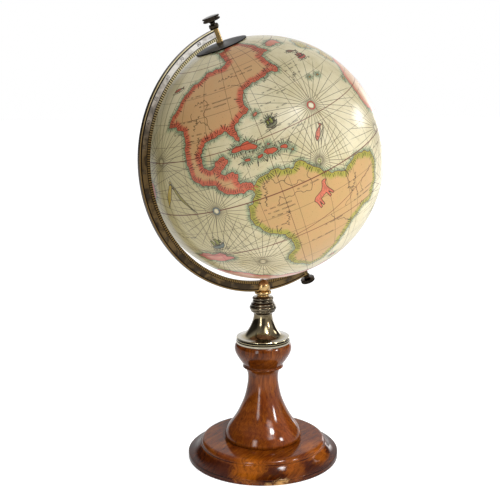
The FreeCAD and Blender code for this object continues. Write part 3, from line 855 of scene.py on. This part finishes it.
def map_skin(name, sign, shapes, edge, pictures, lines):
    """One half of the printed layer, with its distances and colours stored in its vertices."""
    lat, lon, reach, spans = [], [], [], []
    for radius, ring_lat, count in skin_rings(sign):
        spans.append((len(lat), count))
        lat += [ring_lat] * count
        lon += [-180 + 360 * k / count for k in range(count)]
        reach += [radius] * count
    lat, lon, reach = np.array(lat), np.array(lon), np.array(reach)
    spots = on_sphere(lat, lon)
    faces = []
    for lower, upper in zip(spans, spans[1:] + spans[:1]):
        faces += stitched(lower, upper)
    mesh = bpy.data.meshes.new(name)
    points = spots * reach[:, None] + np.array(CENTRE)
    mesh.from_pydata(points.tolist(), [], [face[::sign] for face in faces])
    mesh.shade_smooth()
    mesh.normals_split_custom_set_from_vertices(spots.tolist())

    distance, _, along, owner = lines["coast"].measure(spots)
    land = covered(shapes, lat, lon)
    land |= lat < np.interp(lon, [p[1] for p in edge], [p[0] for p in edge])
    write(mesh, "coast", np.where(land, distance, -distance))
    write(mesh, "along", along)
    colours = [colours for _, colours in shapes] + [PINK]
    for key in ("fill", "edge", "names"):
        write(mesh, key, np.array([colours[k][key] for k in owner]))
    distance, _, _, owner = lines["art"].measure(spots)
    write(mesh, "art", np.where(covered(pictures, lat, lon), distance, -distance))
    write(mesh, "art_fill", np.array([pictures[k][1] for k in owner]))
    for key in ("stroke", "caption"):
        distance, side, along, _ = lines[key].measure(spots)
        write(mesh, key, distance * side)
        write(mesh, key + "_gap", distance)
    write(mesh, "caption_run", along)

    return add_object(name, mesh)


def write(mesh, name, values):
    """Stores a number or a colour for every vertex."""
    if values.ndim == 1:
        mesh.attributes.new(name, "FLOAT", "POINT").data.foreach_set("value", values.astype(np.float32))
    else:
        whole = np.hstack([values, np.ones((len(values), 1))]).astype(np.float32)
        mesh.attributes.new(name, "FLOAT_COLOR", "POINT").data.foreach_set("color", whole.ravel())


# Straight lines through the middle of each compass.
COMPASS_LINES = 16


def compass_rays(g, place, lat, lon, reach_deg, ring_mm):
    """(rays, ring, diamond) masks of one compass on the map."""
    middle = Vector(on_sphere(np.array([lat]), np.array([lon]))[0])
    north = (NORTH - middle * NORTH.dot(middle)).normalized()
    east = north.cross(middle)
    x, y = g.dot(place, east), g.dot(place, north)
    ahead = g.step(g.dot(place, middle), 0, 0.001)
    away = g.vector("LENGTH", g.combine(x, y, 0))
    turn = g.math("ARCTAN2", y, x)
    gap = g.math("SINE", turn * COMPASS_LINES) * (away * (RADIUS_MM / COMPASS_LINES))
    limit = math.sin(math.radians(reach_deg))
    rays = g.band(gap, 0.11, 0.33) * ahead * g.step(away, limit, limit * 0.75) * g.step(away, 0.012, 0.03)
    if not ring_mm:
        return rays, None, None
    ring = g.band(away * RADIUS_MM - ring_mm, 0.45, 0.35) * ahead
    diamond = g.step(abs(x) + abs(y), (ring_mm - 0.8) / RADIUS_MM, (ring_mm - 1.4) / RADIUS_MM) * ahead
    return rays, ring, diamond


def comb_strokes(g, cell, away, taper, width, rarity):
    """(mask, lot) of a row of strokes, one to a cell, which get narrower away from the coast. lot is
    each stroke's own random number, and a stroke whose lot is below rarity is left out."""
    lot = g.chance(cell)
    gap = abs(g.math("FRACT", cell) - 0.5) + away * taper
    return g.step(gap, width + 0.08, width) * g.step(lot, rarity, rarity + 0.02), lot


# The longitude where the painted shade beside the arc is darkest.
ARC_SHADE_LON = -95
# Longitudes of the dashed meridians.
DASHED_LON = (-26, 4, 154)
# The latitudes of the printed circles, with half the width of their line.
CIRCLES = ((0, 0.5), (23.5, 0.32), (-23.5, 0.32), (66.5, 0.3), (-66.5, 0.3))


def printed_map():
    """Varnished antique-style print: tinted sea and land, engraved coasts, grid, circles, compasses."""
    g = Graph("printed_map")
    local = g.vector("SUBTRACT", g.position, CENTRE)
    place = g.vector("NORMALIZE", local)
    mm = g.vector("SCALE", local, 1000)
    high = g.dot(place, NORTH)
    lat = g.math("ARCSINE", high) * (180 / math.pi)
    lon_turn = g.math("ARCTAN2", g.dot(place, EAST), g.dot(place, ZERO))
    lon = lon_turn * (180 / math.pi)
    ring = g.math("SQRT", 1 - high * high)
    blotch = g.noise(mm, 0.018, 4, 0.6)
    stain = g.noise(mm, 0.07, 4, 0.65, 0.4)
    speck = g.noise(mm, 1.3, 3, 0.7)
    wobble = g.noise(mm, 0.5, 2, 0.5)

    coast = g.attribute("coast")
    drawn = coast + (wobble - 0.5) * 1.1
    along = g.attribute("along")
    sea = g.step(drawn, 0.15, -0.15)
    land = 1 - sea

    water = g.mix(g.step(blotch, 0.3, 0.7), rgb(198, 186, 144), rgb(224, 214, 180))
    water = g.mix(g.step(stain, 0.5, 0.8, 0, 0.5), water, rgb(188, 168, 120))
    tint_edge = drawn + stain * 4
    water = g.mix(g.step(tint_edge, -4.4, 1.5, 0, 0.75), water, rgb(136, 160, 124))
    fill = g.mix(g.step(stain, 0.3, 0.75, 0, 0.5), g.attribute("fill", "Color"), rgb(206, 156, 104))
    band_edge = drawn + (stain - 0.5) * 7
    band_share = g.step(band_edge, 3.6, 8.4, 0.88, 0)
    comb = g.step(g.math("SINE", along * 4.2), -0.2, 0.7, 0.72, 1)
    ground = g.mix(band_share * comb, fill, g.attribute("edge", "Color"))
    g.colour = g.mix(land, water, ground)

    ink = rgb(44, 31, 21)
    hachure = g.step(g.math("SINE", along * 5.2), 0, 0.6) * g.step(drawn, -2.1, -1.2)
    hachure = hachure * g.step(drawn, 0, -0.2)
    g.paint(hachure * 0.55, rgb(70, 84, 72))
    g.paint(g.band(drawn, 0.16, 0.34), rgb(96, 44, 32))

    away = abs(coast)
    depth = coast * g.attribute("names")
    strokes, lot = comb_strokes(g, along / 2.7, away, 0.012, 0.16, 0.2)
    strokes = strokes * g.step(depth, 1, 1.5) * g.step(depth - lot * 7, 2.9, 2.4)
    g.paint(strokes * 0.95, ink)
    strokes, lot = comb_strokes(g, along / 2.3 + 700, away, 0.03, 0.2, 0.3)
    strokes = strokes * g.step(coast, -0.7, -1.1) * g.step(coast + lot * 7, 0.1, 0.6)
    g.paint(strokes * 0.9, ink)

    rays_all = None
    marks = []
    for compass_lat, compass_lon, reach_deg, ring_mm, ring_colour in COMPASSES:
        rays, ring_mask, diamond = compass_rays(g, place, compass_lat, compass_lon, reach_deg, ring_mm)
        rays_all = rays if rays_all is None else g.math("MAXIMUM", rays_all, rays)
        if ring_mask is not None:
            marks.append((ring_mask, diamond, ring_colour))
    g.paint(rays_all * sea * g.step(speck, 0.2, 0.6, 0.6, 0.95), rgb(66, 54, 36))

    # Meridians every 15 degrees, one of them at -6.5, and parallels every 10, one at the equator.
    lon_gap = g.math("FRACT", (lon + 194) / 15) - 0.5
    lon_mm = lon_gap * ring * (15 * DEG_MM)
    lat_gap = g.math("FRACT", (lat + 95) / 10) - 0.5
    lat_mm = lat_gap * (10 * DEG_MM)
    grid = g.math("MAXIMUM", g.band(lon_mm, 0.08, 0.3), g.band(lat_mm, 0.08, 0.3))
    g.paint(grid * 0.75, rgb(68, 47, 30))

    circle_ink = rgb(102, 40, 28)
    for latitude, half_width in CIRCLES:
        gap = (lat - latitude) * DEG_MM
        g.paint(g.band(gap, half_width, 0.3) * 0.85, circle_ink)
    ecliptic = lat + g.math("COSINE", lon_turn + math.radians(45)) * 23.5
    g.paint(g.band(ecliptic * DEG_MM, 0.26, 0.3) * 0.85, circle_ink)
    dashes = g.step(g.math("SINE", lat * math.tau), -0.4, 0.4, 0.55, 0.9)
    for longitude in DASHED_LON:
        gap = g.dot(place, facing(longitude + 90)) * RADIUS_MM
        here = g.step(g.dot(place, facing(longitude)), 0, 0.001)
        g.paint(g.band(gap, 0.22, 0.3) * here * dashes, rgb(96, 58, 36))

    art = g.attribute("art")
    wash = g.mix(g.step(wobble, 0.4, 0.6, 0, 0.35), g.attribute("art_fill", "Color"), ink)
    g.paint(g.step(art, -0.2, 0.2) * 0.88, wash)
    g.paint(g.band(art, 0.26, 0.3) * 0.9, ink)
    stroke = g.band(g.attribute("stroke"), 0.16, 0.3) * g.step(g.attribute("stroke_gap"), 1, 0.7)
    g.paint(stroke * 0.85, ink)
    run = g.attribute("caption_run")
    letters = g.math("FRACT", run / 1.5)
    word = g.chance(run / 3.4)
    caption = g.band(g.attribute("caption"), CAPTION_HALF_MM * 0.8, 0.3)
    caption = caption * g.step(g.attribute("caption_gap"), CAPTION_HALF_MM + 0.4, CAPTION_HALF_MM)
    caption = caption * g.band(letters - 0.5, 0.24, 0.12) * g.step(word, 0.22, 0.34, 0.1, 1)
    caption = caption * g.step(speck, 0.3, 0.5, 0.5, 1)
    g.paint(caption * 0.9, ink)
    for ring_mask, diamond, ring_colour in marks:
        g.paint(diamond * 0.9, rgb(232, 224, 196))
        g.paint(ring_mask * 0.95, ring_colour)
    g.paint(g.step(speck, 0.66, 0.82, 0, 0.35), rgb(120, 92, 58))
    dots = g.noise(mm, 1, 1, 0.5)
    g.paint(g.step(dots, 0.72, 0.76, 0, 0.7), ink)
    # Painted shade beside the arc: the map is multiplied darker around that longitude.
    arc_shade = g.dot(place, facing(ARC_SHADE_LON)) + (blotch - 0.5) * 0.5
    g.paint(g.step(arc_shade, 0.5, 1, 0, 0.85), rgb(204, 200, 172), "MULTIPLY")
    g.bump(speck, 0.05, 0.0002)
    return g.finish(Roughness=0.38 + blotch * 0.12, Specular_IOR_Level=0.25,
                    Coat_Weight=0.42, Coat_Roughness=0.19)


def build_map():
    shapes, edge = land_shapes()
    pictures, strokes = ornaments()
    lines = {"coast": Lines(30), "art": Lines(6), "stroke": Lines(6), "caption": Lines(6)}
    for key, owned in (("coast", shapes), ("art", pictures)):
        for owner, (outline, _) in enumerate(owned):
            lines[key].add(outline, owner)
    lines["coast"].add(edge, len(shapes), closed=False)
    for line in strokes:
        lines["stroke"].add(line, 0, closed=False)
    for lat, west, east in CAPTION_ROWS:
        lines["caption"].add([(lat, west), (lat, (west + east) / 2), (lat, east)], 0, closed=False)
    paint = printed_map()
    for name, sign, node in (("north_map", 1, "north_map_skin"), ("south_map", -1, "south_map_skin")):
        piece = map_skin(name, sign, shapes, edge, pictures, lines)
        piece.data.materials.append(paint)
        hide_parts(node)
        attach(piece, "globe")


# ---------------------------------------------------------------- degree numbers on the arc

NUMERAL_SIZE = 5.6 * MM
NUMERAL_RADIUS = 162.5 * MM
NUMERAL_PROUD = 0.05 * MM


def arc_numerals():
    """Degree numbers every ten degrees on both faces of the arc, in one thin raised mesh."""
    face_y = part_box("meridian_arc")[1].y
    vertices, faces = [], []
    for front in (-1, 1):
        for degrees in range(-80, 81, 10):
            text = bpy.data.curves.new("numeral", "FONT")
            holder = add_object("numeral", text, body=str(abs(degrees)), size=NUMERAL_SIZE, align_x="CENTER",
                                align_y="CENTER", extrude=NUMERAL_PROUD, resolution_u=3)
            bpy.context.view_layer.update()
            solid = bpy.data.meshes.new_from_object(holder)
            angle = math.radians(degrees)
            outward = NORTH * math.sin(angle) - EAST * math.cos(angle)
            normal = Vector((0, front, 0))
            right = outward.cross(normal)
            turn = Matrix((right, outward, normal)).transposed()
            spot = CENTRE + outward * NUMERAL_RADIUS + normal * (face_y + NUMERAL_PROUD * 0.6)
            base = len(vertices)
            vertices += [turn @ v.co + spot for v in solid.vertices]
            faces += [[base + i for i in face.vertices] for face in solid.polygons]
            bpy.data.objects.remove(holder)
            bpy.data.meshes.remove(solid)
            bpy.data.curves.remove(text)
    mesh = bpy.data.meshes.new("arc_numerals")
    mesh.from_pydata(vertices, [], faces)
    g = Graph("numeral_ink")
    cloud = g.noise(g.position, 400, 3)
    g.colour = g.mix(g.step(cloud, 0.4, 0.7), rgb(10, 8, 7), rgb(30, 25, 20))
    mesh.materials.append(g.finish(Roughness=0.55))
    piece = add_object("arc_numerals", mesh)
    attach(piece, "stand")


# ---------------------------------------------------------------- studio

CAMERA_AT = Vector((-0.5523, -0.8723, 0.4519))
CAMERA_PITCH = math.radians(9.78)
FLOOR_HALF = 30


def camera():
    eye = add_object("camera", bpy.data.cameras.new("camera"), sensor_width=36, lens=59.13,
                     shift_x=-0.026, shift_y=0.001, clip_end=100)
    forward = -TOWARDS_FRONT * math.cos(CAMERA_PITCH) - UP * math.sin(CAMERA_PITCH)
    eye.location = CAMERA_AT
    eye.rotation_euler = forward.to_track_quat("-Z", "Y").to_euler()
    bpy.context.scene.camera = eye


def softbox(name, yaw_deg, elevation_deg, distance, width, height, power, aim_z, spread_deg):
    """A soft light yaw_deg to the right of the object's front, aimed at the height aim_z."""
    yaw, rise = math.radians(yaw_deg), math.radians(elevation_deg)
    aim = UP * aim_z
    flat = TOWARDS_FRONT * math.cos(yaw) + FRONT_RIGHT * math.sin(yaw)
    place = aim + (flat * math.cos(rise) + UP * math.sin(rise)) * distance
    lamp = add_object(name, bpy.data.lights.new(name, "AREA"), shape="RECTANGLE", size=width,
                      size_y=height, energy=power, spread=math.radians(spread_deg))
    lamp.location = place
    lamp.rotation_euler = (aim - place).to_track_quat("-Z", "Y").to_euler()
    lamp.visible_camera = False


# Brightness of the room by degrees to the right of the front: pale walls with dark gaps.
WALLS = [(-180, 0.95), (-154, 0.95), (-142, 0.06), (-62, 0.03), (-46, 0.14), (-16, 0.15), (-4, 0.09),
         (18, 0.12), (38, 0.7), (98, 0.8), (112, 0.08), (142, 0.08), (154, 0.95), (180, 0.95)]


def room(world):
    """Lights the world like a room, and shows it white to the camera."""
    g = Graph("studio", world)
    turn = g.math("ARCTAN2", g.dot(g.position, FRONT_RIGHT), g.dot(g.position, TOWARDS_FRONT))
    stops = [((degrees + 180) / 360, (level, level, level)) for degrees, level in WALLS]
    around = g.ramp((turn + math.pi) / math.tau, *stops)
    overhead = g.step(g.dot(g.position, UP), 0.45, 0.8)
    lit = g.mix(overhead, around, (0.42, 0.42, 0.42))
    lights = g.make("ShaderNodeBackground", [("Color", lit), ("Strength", 1.4)])
    seen = g.make("ShaderNodeBackground", [("Color", (1, 1, 1))])
    ray = g.make("ShaderNodeLightPath", output="Is Camera Ray")
    blend = g.make("ShaderNodeMixShader", [(0, ray), (1, lights), (2, seen)])
    g.nodes.remove(g.nodes["Background"])
    g.feed(g.nodes["World Output"].inputs["Surface"], blend)


def studio():
    scene = bpy.context.scene
    scene.view_settings.view_transform = "Standard"
    scene.world = bpy.data.worlds.new("studio")
    room(scene.world)

    for elevation in (0, 9, 18, 27):
        softbox(f"left_strip_{elevation}", -25, elevation, 1.5, 0.75, 0.3, 0.09, aim_z=0.03, spread_deg=18)
    softbox("right_front", 60, 24, 1.6, 0.24, 0.4, 0.16, aim_z=0.03, spread_deg=16)
    softbox("base_glow", 41, 50, 1.6, 0.6, 0.22, 0.4, aim_z=0, spread_deg=15)
    softbox("ball_key", 30, 40, 1.7, 1.2, 1.1, 1.05, aim_z=0.43, spread_deg=28)
    softbox("right_window", 112, 20.5, 1.6, 0.44, 0.25, 0.17, aim_z=0.42, spread_deg=28)
    softbox("right_rim", 150, 4, 1.6, 0.3, 1.2, 0.2, aim_z=0.4, spread_deg=30)

    mesh = bpy.data.meshes.new("floor")
    corners = [(-FLOOR_HALF, -FLOOR_HALF, 0), (FLOOR_HALF, -FLOOR_HALF, 0),
               (FLOOR_HALF, FLOOR_HALF, 0), (-FLOOR_HALF, FLOOR_HALF, 0)]
    mesh.from_pydata(corners, [], [(0, 1, 2, 3)])
    g = Graph("floor_white")
    g.colour = g.mix(g.noise(g.position, 40, 2), (0.3, 0.3, 0.3), (0.33, 0.33, 0.33))
    mesh.materials.append(g.finish(Roughness=0.7, Specular_IOR_Level=0.2, Emission_Color=(1, 1, 1),
                                   Emission_Strength=0.88))
    floor = add_object("floor", mesh)


camera()
studio()
dress_frame()
build_map()
arc_numerals()
